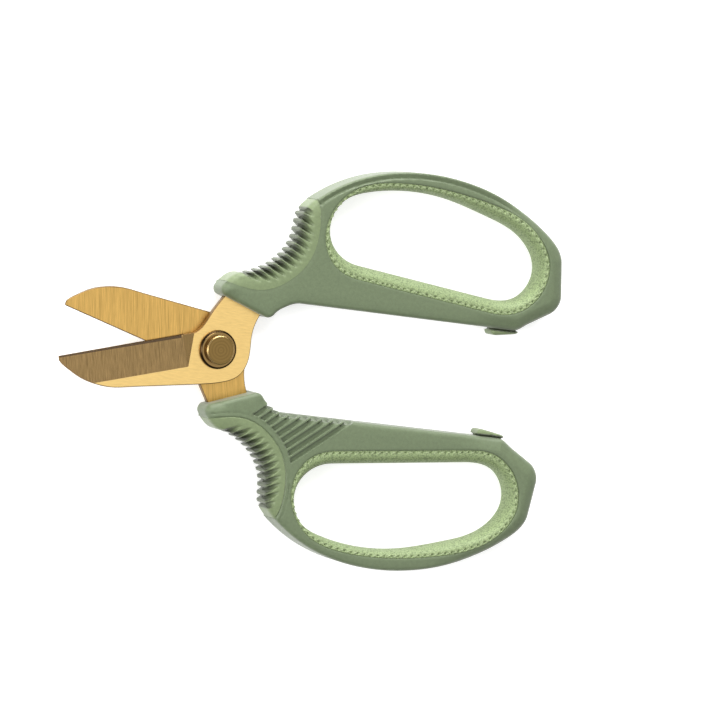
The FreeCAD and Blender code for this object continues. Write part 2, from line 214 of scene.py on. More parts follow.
def ease(value, low, high):
    """Smooth step from 0 at low to 1 at high."""
    t = np.clip((value - low) / (high - low), 0, 1)
    return t * t * (3 - 2 * t)


def fading(value, reach):
    """Straight slope from 1 at zero to 0 at reach."""
    return 1 - np.clip(value / reach, 0, 1)


def bump(value, centre, width):
    """Soft ridge of height 1."""
    return np.exp(-((value - centre) / width) ** 2)


def shoulder(depth, radius):
    """How far a rounded edge has fallen at a distance inside the outline."""
    left = radius - np.clip(depth, 0, radius)
    return radius - np.sqrt(np.maximum(radius ** 2 - left ** 2, 0))


def shoulder_rows(radius, angles):
    """Distances from an outline at which a rounded edge has turned by the given angles."""
    return [radius * (1 - math.cos(math.radians(angle))) for angle in angles]


CORE_RING, SEAM = section("upper_core", SECTION)[:2]
PAD_RING = section("upper_pad", SECTION)[0]
OPENING = section("upper_liner", 0.0)[-1]
LOOP_MIDDLE = OPENING.mean(0)

SHARED = distance(PAD_RING, CORE_RING) < TOUCHING
BORDER = longest_run(PAD_RING, SHARED)
PAD_FREE = longest_run(PAD_RING, ~SHARED)
CORE_FREE = longest_run(CORE_RING, distance(CORE_RING, PAD_RING) > TOUCHING)


def fin_gaps(line):
    """The fin gaps of the pad: the middle of each mouth, its floor, and the line of tips."""
    detour = 1.3                    # a gap's outline is longer than its mouth by more than this
    ring = tidy(line)
    ahead = np.diff(ring, axis=0)
    angle = np.degrees(np.arctan2(ahead[:, 1], ahead[:, 0]))
    turn = (np.diff(angle) + 180) % 360 - 180
    corners = [i + 1 for i in np.flatnonzero(np.abs(turn) > CORNER)]
    mouths, floors, envelope, last = [], [], [], 0
    for a, b in zip(corners, corners[1:]):
        inner = ring[a:b + 1]
        if run_along(inner)[-1] < detour * np.hypot(*(ring[b] - ring[a])):
            continue
        middle = (ring[a] + ring[b]) / 2
        depth = np.hypot(*(inner - middle).T)
        mouths.append(middle)
        floors.append(inner[depth.argmax()])
        envelope.append(ring[last:a + 1])
        last = b
    envelope.append(ring[last:])
    return np.array(mouths), np.array(floors), np.vstack(envelope)


MOUTHS, FLOORS, TIP_LINE = fin_gaps(PAD_FREE)
FIN_WAY = (FLOORS - MOUTHS).mean(0)
FIN_WAY = FIN_WAY / np.hypot(*FIN_WAY)
FIN_ASIDE = np.array([-FIN_WAY[1], FIN_WAY[0]])
GAP_PLACES = np.sort(MOUTHS @ FIN_ASIDE)
FIN_PITCH = np.diff(GAP_PLACES).mean()


# ------------------------ making meshes
def add_object(name, data):
    """Object in the scene for a mesh, a light or a camera."""
    obj = bpy.data.objects.new(name, data)
    bpy.context.scene.collection.objects.link(obj)
    return obj


def new_piece(name, points, faces, side, body, material, sharp=40, painted_shade_shares=None):
    """Mesh object from half-frame points in millimetres, put in its place on its body.

    Edges steeper than sharp degrees stay sharp.  The painted shade shares say, from 0 to 1,
    how far painted shade darkens each point where shade falls in hollows and crevices.
    """
    flip = Matrix.Diagonal((MM, side * MM, side * MM)).to_3x3()
    mesh = bpy.data.meshes.new(name)
    verts = [tuple(PIVOT + flip @ Vector(p)) for p in points]
    mesh.from_pydata(verts, [], [tuple(f) for f in faces])
    mesh.update()
    mesh.validate()
    if painted_shade_shares is not None:
        # painted shade: a point attribute that darkens the moulded colour where shade falls
        mesh.attributes.new("painted_shade", "FLOAT", "POINT").data.foreach_set("value", painted_shade_shares)
    bm = bmesh.new()
    bm.from_mesh(mesh)
    bmesh.ops.recalc_face_normals(bm, faces=bm.faces)
    bm.to_mesh(mesh)
    bm.free()
    mesh.polygons.foreach_set("use_smooth", [True] * len(mesh.polygons))
    mesh.set_sharp_from_angle(angle=math.radians(sharp))
    mesh.materials.append(material)
    obj = add_object(name, mesh)
    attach(obj, body)
    return obj


def between(points, outer, holes, margin):
    """True for points within the outer loop, outside its holes and clear of them all."""
    keep = inside(points, outer) & (distance(points, outer) > margin)
    for hole in holes:
        keep &= ~inside(points, hole) & (distance(points, hole) > margin)
    return keep


def spread(loops, step, rings):
    """Points that fill the space between loops: rows along the loops, then an even field."""
    thin_out = 0.4                  # rows further in than this have half as many points
    least = 0.96                    # share of its gap that each point of a row has to keep
    row_ratio = 0.866               # spacing of the field's rows, as a share of the step
    outer, *holes = loops
    fill = []
    for loop in loops:
        inward = -normals(loop) if loop is outer else normals(loop)
        for gap in rings:
            row = loop + inward * gap
            if gap > thin_out:
                row = row[::2]
            fill.append(row[distance(row, loop) > gap * least])
    low, high = outer.min(0), outer.max(0)
    xs = np.arange(low[0], high[0], step)
    ys = np.arange(low[1], high[1], step * row_ratio)
    grid = np.array([(x + (step / 2 if row % 2 else 0), y)
                     for row, y in enumerate(ys) for x in xs])
    field = grid[between(grid, outer, holes, rings[-1] + step * 0.6)]
    fill = np.vstack(fill + [field])
    return fill[between(fill, outer, holes, rings[0] * 0.9)]


def plate(loops, fill, top, under, wall_rows):
    """Closed slab between loops with a height for each face; returns points and faces."""
    flat = np.vstack(loops + [fill])
    edges, start = [], 0
    for loop in loops:
        count = len(loop)
        edges += [(start + i, start + (i + 1) % count) for i in range(count)]
        start += count
    placed, _, triangles, origins, _, _ = delaunay_2d_cdt([Vector(p) for p in flat], edges, [],
                                                          0, 1e-6, True)
    flat = np.array([tuple(v) for v in placed])
    triangles = np.array(triangles)
    middles = flat[triangles].mean(1)
    wanted = inside(middles, loops[0])
    for hole in loops[1:]:
        wanted &= ~inside(middles, hole)
    triangles = triangles[wanted].tolist()
    high, low = top(flat), under(flat)
    count = len(flat)
    points = [(x, y, z) for (x, y), z in zip(flat, high)]
    points += [(x, y, -z) for (x, y), z in zip(flat, low)]
    faces = [tuple(f) for f in triangles]
    faces += [tuple(count + i for i in reversed(f)) for f in triangles]
    now = {old: new for new, olds in enumerate(origins) for old in olds}
    start = 0
    for loop in loops:
        ids = [now[start + i] for i in range(len(loop))]
        add_wall(points, faces, ids, count, wall_rows)
        start += len(loop)
    return np.array(points), faces


def add_wall(points, faces, ids, count, wall_rows):
    """Rows of faces down the side of a slab; each lower point is count after its upper one."""
    rows = [ids]
    for row in range(1, wall_rows):
        share = row / wall_rows
        fresh = []
        for i in ids:
            x, y, high = points[i]
            low = points[count + i][2]
            fresh.append(len(points))
            points.append((x, y, high * (1 - share) + low * share))
        rows.append(fresh)
    rows.append([count + i for i in ids])
    for upper, lower in zip(rows, rows[1:]):
        for i in range(len(ids)):
            j = (i + 1) % len(ids)
            faces.append((upper[i], upper[j], lower[j], lower[i]))


# ------------------------ handle core
RIB_PITCH = FIN_PITCH * 1.025
RIB_COUNT = 9
RIB_HEADING = math.radians(-38)                 # direction of the ribs from X
RIB_WAY = np.array([math.cos(RIB_HEADING), math.sin(RIB_HEADING)])
RIB_ASIDE = np.array([-RIB_WAY[1], RIB_WAY[0]])
RIB_BACK = BORDER.mean(0) @ RIB_WAY - 4.0       # the ribs lie beyond this along their heading
FIRST_RIB = GAP_PLACES[0] - 0.7
RIB_DEPTH = 1.3
RIB_WALLS = (0.66, 0.98)    # groove floor ends and rib top starts, from a groove's middle
RIB_ENDS = (2.0, 2.7)       # from the pad, where the grooves start and are full
RIB_PAINTED_SHADE = 0.10             # how dark the painted shade in the grooves is
INNER_WALL = 24             # the grooves run over the edge where y is less than this,
OVER_EDGE = 1.2             # within this distance of the outline
OVER_TOP = 3.0              # and below this height,
OVER_FADE = (-3.0, 2.0)     # fading out between these heights
CORE_STEP = 0.45            # spacing of points on the core's outline
FIELD_STEP = 0.42           # spacing of points within its faces
CORE_ROUND = 1.3            # radius of the edge along the outline
RIM_ROUND = 0.6             # its radius on the raised rim of the arch
SEAM_ROUND = 0.30           # its radius along the liner
ARCH_FOOT = (46, 54)        # y over which the raised rim starts
ARCH_END = (96, 108)        # x over which it stops again
TROUGH_WALLS = (0.7, 1.8, 1.9, 2.4)     # start and end of both walls, from the outline
TROUGH_DEPTH = 0.75         # of the trough behind the raised rim
EDGE_FALL, EDGE_WIDTH = 0.35, 4.5       # how far a face sinks towards its outline
FAR_FALL = 1.5              # how much more it sinks at the far end
FAR_END = (88, 106)         # x over which that sets in
END_FALL, END_WIDTH = 0.9, 3.5          # how far a face sinks beside the end of the pad
END_REACH = 7.0             # outline this near the pad's end counts as beside it
PAD_END = min((PAD_FREE[0], PAD_FREE[-1]), key=lambda point: point[1])
END_EDGE = CORE_FREE[np.hypot(*(CORE_FREE - PAD_END).T) < END_REACH]


def rib_place(flat):
    """Place across the ribs, counted in pitches; whole numbers are the middles of grooves."""
    return (flat @ RIB_ASIDE - FIRST_RIB) / RIB_PITCH


def rib_groove(flat):
    """Share of the full groove depth at each point of the ribbed face."""
    across = rib_place(flat)
    number = np.round(across)
    beside = np.abs(across - number) * RIB_PITCH
    within = (number >= 0) & (number < RIB_COUNT)
    walls = 1 - ease(beside, *RIB_WALLS)
    start = ease(distance(flat, BORDER, closed=False), *RIB_ENDS)
    return walls * start * within * (flat @ RIB_WAY > RIB_BACK)


def core_fill(ring, seam, steps):
    """Even points, with rows along the ribs in their place where the ribs are."""
    pad_margin, edge_margin, seam_margin = 1.7, 0.15, 0.3
    outside, within = 0.06, 0.08    # rows of points beside each end of a rib's wall
    row_step = 0.36

    def ribbed(flat):
        across = rib_place(flat)
        clear = distance(flat, BORDER, closed=False) > pad_margin
        return (across > -0.5) & (across < RIB_COUNT - 0.5) & (flat @ RIB_WAY > RIB_BACK) & clear

    even = spread([ring, seam], FIELD_STEP, steps)
    low, high = RIB_WALLS
    half = [0, low * 0.5, low - outside, low + within, (low + high) / 2, high - within,
            high + outside, RIB_PITCH / 2]
    offsets = sorted({side * gap for gap in half for side in (-1, 1)})
    across = [FIRST_RIB + number * RIB_PITCH + offset
              for number in range(RIB_COUNT) for offset in offsets[:-1]]
    reach = ring @ RIB_WAY
    along = np.arange(reach.min(), reach.max(), row_step)
    rows = np.array([RIB_ASIDE * a + RIB_WAY * b for a in across for b in along])
    rows = rows[inside(rows, ring) & ~inside(rows, seam) & ribbed(rows)]
    rows = rows[(distance(rows, ring) > edge_margin) & (distance(rows, seam) > seam_margin)]
    return np.vstack([even[~ribbed(even)], rows])


def beside_pad(border, ribbed):
    """Change of a core face's height near the pad: the joint, then a bead and its groove."""
    if ribbed:
        joint = 0.30 * bump(border, 0.0, 0.2)
        bead = 0.20 * bump(border, 0.8, 0.34)
        groove = 0.22 * bump(border, 1.45, 0.2)
        return bead - groove - joint
    joint = 0.03 * bump(border, 0.0, 0.25)
    sunk = 0.08 * (1 - ease(border, 0.0, 1.4))
    return -joint - sunk


def core_face(flat, ribbed):
    """Height of a core face over the middle plane."""
    x, y = flat.T
    edge = distance(flat, CORE_FREE, closed=False)
    seam = distance(flat, SEAM)
    border = distance(flat, BORDER, closed=False)
    end = distance(flat, END_EDGE, closed=False)
    rim = 0 if ribbed else ease(y, *ARCH_FOOT) * (1 - ease(x, *ARCH_END))
    brink, floor, foot, level = TROUGH_WALLS
    trough = np.clip((edge - brink) / (floor - brink), 0, 1) * (1 - ease(edge, foot, level))
    height = FACE - shoulder(edge, CORE_ROUND) * (1 - rim) - shoulder(edge, RIM_ROUND) * rim
    height -= END_FALL * fading(end, END_WIDTH) ** 2
    height -= EDGE_FALL * fading(edge, EDGE_WIDTH) ** 2
    height -= FAR_FALL * fading(edge, EDGE_WIDTH) ** 1.3 * ease(x, *FAR_END)
    height -= TROUGH_DEPTH * trough * rim
    height -= shoulder(seam, SEAM_ROUND)
    height += beside_pad(border, ribbed)
    if ribbed:
        height -= RIB_DEPTH * rib_groove(flat)
    return np.minimum(height, FACE)


def run_over_edge(points, ring):
    """Carry the rib grooves over the rounded edge and down the inner wall."""
    flat = points[:, :2]
    near = (distance(flat, ring) < OVER_EDGE) & (flat[:, 1] < INNER_WALL)
    chosen = np.flatnonzero(near & (points[:, 2] < OVER_TOP))
    fade = 1 - ease(points[chosen, 2], *OVER_FADE)
    points[chosen, 1] += rib_groove(flat[chosen]) * RIB_DEPTH * fade


def build_core(name, side, body, material):
    """Moulded handle with a plain face up and a ribbed face down."""
    ring = resample(CORE_RING, CORE_STEP)
    seam = resample(SEAM, CORE_STEP)
    steps = shoulder_rows(CORE_ROUND, (20, 38, 56, 74, 90))
    points, faces = plate([ring, seam], core_fill(ring, seam, steps),
                          lambda flat: core_face(flat, False),
                          lambda flat: core_face(flat, True), wall_rows=6)
    run_over_edge(points, ring)
    # painted shade in the rib grooves of the ribbed face
    painted_shade = rib_groove(points[:, :2]) * (points[:, 2] < 0) * RIB_PAINTED_SHADE
    return new_piece(name, points, faces, side, body, material, painted_shade_shares=painted_shade)


# ------------------------ finger pad
FIN_DEPTH = 6.0
FIN_NOTCH = 1.5             # how far the gaps cut into the outline
GAP_EDGES = (0.17, 0.56)    # crest ends and floor starts, from a crest to the gap's middle
FIN_MARGIN = 1.7            # smooth strip between the gaps and the core
END_GAP = 0.6               # least size of a gap, at the ends of the row, beside a full one
CROWN = 0.25                # how far a crest falls to its sides
PAD_ROUND = 1.5             # radius of the edge along the fin tips
PAD_FALL, PAD_WIDTH = 0.9, 5.0          # how far a face sinks towards the fin tips
JOINT_DEPTHS = (0.02, 0.30)             # of the line beside the core, plain and ribbed face
TIP_PAINTED_SHADE = 0.85             # how dark the painted shade makes the fin tips at the mouths of the gaps


def fin_place(flat):
    """Nearness to the middle of the nearest gap, from 0 to 1, and the size of that gap."""
    across = flat @ FIN_ASIDE
    last = len(GAP_PLACES) - 1
    place = np.interp(across, GAP_PLACES, np.arange(last + 1))
    place = np.where(across < GAP_PLACES[0], (across - GAP_PLACES[0]) / FIN_PITCH, place)
    over = last + (across - GAP_PLACES[-1]) / FIN_PITCH
    place = np.where(across > GAP_PLACES[-1], over, place)
    towards_gap = 1 - 2 * np.abs(place - np.round(place))
    finned = (place > -0.5) & (place < last + 0.5)
    size = END_GAP + (1 - END_GAP) * ease(np.minimum(place, last - place), -0.3, 1.5)
    return towards_gap * finned, size


def pad_outline():
    """Outline of the pad: round fin tips along the outside, then the border to the core."""
    tips = along_line(TIP_LINE, 0.1)
    towards_gap, size = fin_place(tips)
    drop = FIN_NOTCH * size * (1 - np.sqrt(1 - towards_gap ** 2))
    tips = tips + FIN_WAY * drop[:, None]
    return np.vstack([tidy(along_line(tips, 0.2), 0.05), along_line(BORDER, 0.3)[1:-1]])


def fin_gap(flat):
    """Shares of a gap's profile and of its depth, and the fall of the crests, at each point."""
    tips = distance(flat, TIP_LINE, closed=False)
    border = distance(flat, BORDER, closed=False)
    towards_gap, size = fin_place(flat)
    along = tips / (tips + np.maximum(border - FIN_MARGIN, 0) + 1e-3)
    reach = 0.55 + 0.45 * size      # a small gap ends nearer the tips
    along = np.clip(along / reach, 0, 1)
    fade = size * (1 - along) ** 1.6
    crest_end, floor_start = GAP_EDGES
    far_end = 0.30 * ease(along, 0.25, 1.0)
    mouth = 0.26 * (1 - ease(along, 0.0, 0.20))
    narrow = far_end + mouth
    groove = ease(towards_gap, crest_end + narrow, floor_start + narrow)
    crown = CROWN * np.clip(towards_gap / crest_end, 0, 1) ** 2 * fade
    return groove, fade, crown


def pad_face(flat, ribbed):
    """Height of a pad face: a rounded rim, then gaps that narrow and fade out inwards."""
    tips = distance(flat, TIP_LINE, closed=False)
    border = distance(flat, BORDER, closed=False)
    groove, fade, crown = fin_gap(flat)
    height = FACE - shoulder(tips, PAD_ROUND)
    height -= PAD_FALL * fading(tips, PAD_WIDTH) ** 2
    height -= FIN_DEPTH * groove * fade + crown
    height -= JOINT_DEPTHS[ribbed] * bump(border, 0.0, 0.2)
    return height


def pad_painted_shade(flat):
    """Painted shade at each point of the pad: the gaps' floors and walls, and the tips beside them.
    """
    groove, fade, _ = fin_gap(flat)
    towards_gap, _ = fin_place(flat)
    tips = distance(flat, TIP_LINE, closed=False)
    # painted shade on the fin tips, which face away from the light
    fin_ends = (1 - ease(tips, 0.4, 2.6)) * (towards_gap > 0)
    fin_ends = fin_ends * (0.3 + 0.7 * ease(towards_gap, 0.0, 0.12))
    return np.maximum(groove * np.clip(fade * 1.8, 0, 1), TIP_PAINTED_SHADE * fin_ends)


def fin_lattice(ring):
    """Points within the pad in rows along the fins, closest together at the gap walls."""
    crest_end, floor_start = GAP_EDGES
    row_step, margin = 0.24, 0.09
    marks = (0, crest_end * 0.6, crest_end, 0.27, 0.36, 0.45, floor_start, 0.68, 0.82, 1)
    offsets = sorted({side * (1 - mark) / 2 for mark in marks for side in (-1, 1)})
    numbers = range(-6, len(GAP_PLACES) + 4)        # the rows go on past the gaps to both ends
    across = [GAP_PLACES[0] + (number + offset) * FIN_PITCH
              for number in numbers for offset in offsets[:-1]]
    reach = ring @ FIN_WAY
    along = np.arange(reach.min(), reach.max(), row_step)
    lattice = np.array([FIN_ASIDE * a + FIN_WAY * b for a in across for b in along])
    return lattice[inside(lattice, ring) & (distance(lattice, ring) > margin)]


def build_pad(name, side, body, material):
    """Soft pad with fins along its outside, the same on both faces but for the joint line."""
    ring = pad_outline()
    points, faces = plate([ring], fin_lattice(ring),
                          lambda flat: pad_face(flat, False),
                          lambda flat: pad_face(flat, True), wall_rows=6)
    return new_piece(name, points, faces, side, body, material, sharp=60,
                     painted_shade_shares=pad_painted_shade(points[:, :2]))


# ------------------------ closing stop
STOP_RING = section("upper_stop", 0.0)[0]
STOP_TOP = half_height("upper_stop")
STOP_ROUND = 1.1            # radius of its edges
TRENCH_DEPTH = 2.2          # of the trench where it leaves the core
TRENCH_WALL = (0.45, 0.95)  # from the core's outline, where that trench ends
TRENCH_PAINTED_SHADE = 0.8           # how dark the painted shade in the trench is


def build_stop(name, side, body, material):
    """Soft block with rounded ends and edges."""
    ring = relax(resample(STOP_RING, 0.15), passes=110)

    def trench(flat):
        return 1 - ease(distance(flat, CORE_RING), *TRENCH_WALL)

    def top(flat):
        rounded = STOP_TOP - shoulder(distance(flat, ring), STOP_ROUND)
        return rounded - TRENCH_DEPTH * trench(flat)

    steps = shoulder_rows(STOP_ROUND, (18, 36, 54, 72, 90))
    points, faces = plate([ring], spread([ring], 0.25, steps), top, top, wall_rows=5)
    # painted shade in the trench where the stop leaves the core
    painted_shade = TRENCH_PAINTED_SHADE * trench(points[:, :2])
    return new_piece(name, points, faces, side, body, material, sharp=60, painted_shade_shares=painted_shade)


# ------------------------ loop liner and stitching
STITCH_PITCH = 2.6
HOLE_INSET = 0.80           # from the seam to the row of needle holes
HOLE_DEPTH = 0.75           # how far the thread pulls the roll in at a hole
HOLE_REACH = 0.33           # radius of that dimple
ROLL_TOP = half_height("upper_liner")
ROLL_ROWS = 34
ROLL_CREST = 0.72           # share of the width at which the roll reaches its full height
ROLL_INSET = 0.04           # from the seam to the edge of the roll
SEAM_FALL, SEAM_WIDTH = 0.25, 0.5       # how far the roll sinks towards the seam
PER_STITCH = 9              # points along the roll for each stitch


def bearings(points):
    """Angles at which a row of points is seen from the middle of the loop, without jumps."""
    offset = points - LOOP_MIDDLE
    return np.unwrap(np.arctan2(offset[:, 1], offset[:, 0]))


def around(loop, angles):
    """Points of a loop that are seen from its middle at the given angles."""
    angle = bearings(loop)
    order = np.argsort(angle)
    angle = np.concatenate([angle[order] + turn for turn in (-2 * math.pi, 0, 2 * math.pi)])
    return at_marks(angles, angle, np.vstack([loop[order]] * 3))


def loop_angles(loop, count):
    """Bearings of even steps along a loop."""
    line = closed_line(loop)
    run = run_along(line)
    return bearings(at_marks(np.arange(count) * run[-1] / count, run, line))


STITCH_ROW = SEAM - normals(SEAM) * HOLE_INSET
STITCHES = round(run_along(closed_line(SEAM))[-1] / STITCH_PITCH)
HOLES = around(STITCH_ROW, loop_angles(STITCH_ROW, STITCHES))


def roll_height(share, width):
    """Height of the padded roll; share runs from 0 at the opening to 1 at the seam."""
    reach = np.clip(share / ROLL_CREST, 0, 1)
    rise = np.sqrt(1 - (1 - reach) ** 2)
    fall = SEAM_FALL * fading((1 - share) * width, SEAM_WIDTH) ** 2
    return ROLL_TOP * rise - fall


def build_liner(name, side, body, material):
    """Roll swept round the loop, closed by its back against the core."""
    count = STITCHES * PER_STITCH
    angles = loop_angles(STITCH_ROW, count)
    inner = around(OPENING, angles)
    outer = around(SEAM - normals(SEAM) * ROLL_INSET, angles)
    width = np.hypot(*(outer - inner).T)
    nearest = np.round(np.arange(count) / PER_STITCH).astype(int) % STITCHES
    bend = (1 - np.cos(np.linspace(0, math.pi / 2, ROLL_ROWS // 2))) * ROLL_CREST
    crest = np.linspace(ROLL_CREST, 1.0, ROLL_ROWS // 2 + 1)[1:]
    shares = np.concatenate([bend, crest])
    rows = []
    for sign in (1, -1):
        order = shares[::-1] if sign == 1 else shares[1:]
        for share in order:
            flat = inner + (outer - inner) * share
            dimple = HOLE_DEPTH * bump(np.hypot(*(flat - HOLES[nearest]).T), 0, HOLE_REACH)
            z = roll_height(share, width) - dimple
            rows.append(np.column_stack([flat, sign * z]))
    points = np.vstack(rows)
    total = len(rows)
    faces = []
    for row in range(total):
        after = (row + 1) % total
        for i in range(count):
            j = (i + 1) % count
            faces.append((row * count + i, row * count + j,
                          after * count + j, after * count + i))
    return new_piece(name, points, faces, side, body, material, sharp=70)


THREAD = 0.14               # radius of the sewing thread
THREAD_SINK = 0.13          # how far its middle lies below the top of the roll, before it lifts
STITCH_SLANT = 0.26         # how far each end of a stitch is off the row, to either side
STITCH_START = 0.17         # share of the way to the next hole where the thread comes out
STITCH_LIFT = 0.16          # how far a stitch rises to its middle
STITCH_DIVE = 0.40          # how far its ends dive into the holes
STITCH_END = 0.55           # thickness of its ends, beside the middle
FLATTENED = (1.15, 0.8)     # half width and half height of the thread, beside its radius
STITCH_SECTIONS = 9
STITCH_SIDES = 8


def build_stitches(name, side, body, material):
    """One slanted stitch from each needle hole to the next, on both faces."""
    points, faces = [], []
    ahead = np.roll(HOLES, -1, 0) - HOLES
    for face in (1, -1):
        for hole, step in zip(HOLES, ahead):
            add_stitch(points, faces, hole, step, face)
    return new_piece(name, points, faces, side, body, material, sharp=80)


def add_stitch(points, faces, hole, step, face):
    """Thread that leaves one hole, lies slanted on the roll and dives into the next."""
    reach = np.hypot(*step)
    along = step / reach
    aside = np.array([-along[1], along[0]])
    base = len(points)
    for number in range(STITCH_SECTIONS):
        t = number / (STITCH_SECTIONS - 1)
        push = reach * (STITCH_START + (1 - 2 * STITCH_START) * t)
        sway = STITCH_SLANT * math.cos(math.pi * t)
        arch = math.sin(math.pi * t)
        lift = STITCH_LIFT * arch ** 0.5 - STITCH_DIVE * (2 * t - 1) ** 6
        thick = THREAD * (STITCH_END + (1 - STITCH_END) * arch ** 0.6)
        wide, high = thick * FLATTENED[0], thick * FLATTENED[1]
        centre = hole + along * push + aside * sway
        top = ROLL_TOP - THREAD_SINK + lift
        for k in range(STITCH_SIDES):
            angle = 2 * math.pi * k / STITCH_SIDES
            x, y = centre + aside * math.cos(angle) * wide
            points.append((x, y, face * (top + math.sin(angle) * high)))
    for number in range(STITCH_SECTIONS - 1):
        for k in range(STITCH_SIDES):
            after = (k + 1) % STITCH_SIDES
            a = base + number * STITCH_SIDES
            b = a + STITCH_SIDES
            faces.append((a + k, a + after, b + after, b + k))
    last = base + (STITCH_SECTIONS - 1) * STITCH_SIDES
    faces.append(tuple(base + k for k in range(STITCH_SIDES)))
    faces.append(tuple(last + k for k in reversed(range(STITCH_SIDES))))


# ------------------------ materials
# colour of the painted shade in the hollows of moulded pieces
PAINTED_SHADE_GREEN = (0.020, 0.030, 0.006)
GRIND_HEADING = 98          # direction of the grinding marks, in degrees from X
MIX_SHARE, MIX_FROM, MIX_TO, MIX_COLOUR = 0, 6, 7, 2    # sockets of a mix node for colours


def set_inputs(node, values):
    """Give the named inputs of a node their values."""
    for name, value in values.items():
        node.inputs[name].default_value = value


def new_material(name, colour, rough, metal=0.0, specular=0.5):
    """Principled material; returns it with its node tree and shader."""
    material = bpy.data.materials.new(name)
    material.use_nodes = True
    tree = material.node_tree
    shader = tree.nodes["Principled BSDF"]
    set_inputs(shader, {"Base Color": (*colour, 1), "Roughness": rough, "Metallic": metal,
                        "Specular IOR Level": specular})
    return material, tree, shader


def coordinates(tree, scale=(1, 1, 1), turn=0, shift=(0, 0, 0)):
    """Object coordinates in millimetres, through a mapping that may turn them about Z."""
    source = tree.nodes.new("ShaderNodeTexCoord")
    mapping = tree.nodes.new("ShaderNodeMapping")
    set_inputs(mapping, {"Scale": [s / MM for s in scale], "Location": shift,
                         "Rotation": (0, 0, math.radians(turn))})
    tree.links.new(source.outputs["Object"], mapping.inputs["Vector"])
    return mapping.outputs["Vector"]


def noise(tree, vector, scale, detail=4.0, rough=0.6):
    """Value of a noise texture."""
    node = tree.nodes.new("ShaderNodeTexNoise")
    set_inputs(node, {"Scale": scale, "Detail": detail, "Roughness": rough})
    tree.links.new(vector, node.inputs["Vector"])
    return node.outputs["Fac"]


def ramp(tree, value, stops):
    """Colour ramp; stops are (place, colour)."""
    node = tree.nodes.new("ShaderNodeValToRGB")
    elements = node.color_ramp.elements
    while len(elements) < len(stops):
        elements.new(0.5)
    for element, (place, colour) in zip(elements, stops):
        element.position = place
        element.color = (*colour, 1)
    tree.links.new(value, node.inputs["Fac"])
    return node.outputs["Color"]


def shade(colour, factor):
    """The colour made darker or lighter."""
    return tuple(min(1.0, c * factor) for c in colour)


def mottled(tree, value, colour, dark, light, start=0.3, end=0.7):
    """Colour that goes from a dark to a light shade as a texture's value rises."""
    return ramp(tree, value, [(start, shade(colour, dark)), (end, shade(colour, light))])


def vary_roughness(tree, shader, value, smooth, rough, start=0.3, end=0.7):
    """Roughness that goes from smooth to rough as a texture's value rises."""
    node = tree.nodes.new("ShaderNodeMapRange")
    set_inputs(node, {"From Min": start, "From Max": end, "To Min": smooth, "To Max": rough})
    tree.links.new(value, node.inputs["Value"])
    tree.links.new(node.outputs["Result"], shader.inputs["Roughness"])


def relief(tree, shader, height, strength, depth, under=None):
    """Bump in millimetres of depth; it can stand on a bump made before."""
    node = tree.nodes.new("ShaderNodeBump")
    set_inputs(node, {"Strength": strength, "Distance": depth * MM})
    tree.links.new(height, node.inputs["Height"])
    if under is not None:
        tree.links.new(under, node.inputs["Normal"])
    tree.links.new(node.outputs["Normal"], shader.inputs["Normal"])
    return node.outputs["Normal"]


def moulded(name, colour, rough, grain):
    """Fine spark-textured moulding with faint clouding, darkened by painted shade in its hollows.
    """
    material, tree, shader = new_material(name, colour, rough)
    place = coordinates(tree)
    cloud = noise(tree, place, scale=0.8, detail=6.0, rough=0.8)
    # painted shade: a mesh attribute mixes the colour towards dark green where shade falls
    painted_shade = tree.nodes.new("ShaderNodeAttribute")
    painted_shade.attribute_name = "painted_shade"
    shade_mix = tree.nodes.new("ShaderNodeMix")
    shade_mix.data_type = "RGBA"
    shade_mix.inputs[MIX_TO].default_value = (*PAINTED_SHADE_GREEN, 1)
    tree.links.new(painted_shade.outputs["Fac"], shade_mix.inputs[MIX_SHARE])
    tree.links.new(mottled(tree, cloud, colour, 0.84, 1.14), shade_mix.inputs[MIX_FROM])
    tree.links.new(shade_mix.outputs[MIX_COLOUR], shader.inputs["Base Color"])
    fine = noise(tree, place, scale=5.5, detail=2.0, rough=0.7)
    vary_roughness(tree, shader, fine, rough - 0.07, rough + 0.07)
    relief(tree, shader, fine, strength=grain, depth=0.06)
    set_inputs(shader, {"Sheen Weight": 0.28, "Sheen Roughness": 0.45})
    return material


def leather(name, colour):
    """Pebbled cover: small rounded cells with darker creases between them."""
    material, tree, shader = new_material(name, colour, 0.55)
    place = coordinates(tree)
    cells = tree.nodes.new("ShaderNodeTexVoronoi")
    cells.inputs["Scale"].default_value = 1.9
    tree.links.new(place, cells.inputs["Vector"])
    pebble = cells.outputs["Distance"]
    tint = ramp(tree, pebble, [(0.0, shade(colour, 1.22)), (0.45, colour),
                               (0.85, shade(colour, 0.55))])
    tree.links.new(tint, shader.inputs["Base Color"])
    vary_roughness(tree, shader, pebble, 0.45, 0.72, start=0.1, end=0.8)
    raised = tree.nodes.new("ShaderNodeMath")
    raised.operation = "SUBTRACT"
    raised.inputs[0].default_value = 1.0
    tree.links.new(pebble, raised.inputs[1])
    pebbles = relief(tree, shader, raised.outputs["Value"], strength=0.55, depth=0.16)
    grain = noise(tree, place, scale=6.0, detail=3.0)
    relief(tree, shader, grain, strength=0.3, depth=0.05, under=pebbles)
    return material


def thread_look(name, colour):
    """Twisted sewing thread."""
    material, tree, shader = new_material(name, colour, 0.7)
    twist = noise(tree, coordinates(tree), scale=7.0, detail=2.0)
    tree.links.new(mottled(tree, twist, colour, 0.8, 1.15), shader.inputs["Base Color"])
    relief(tree, shader, twist, strength=0.5, depth=0.08)
    return material


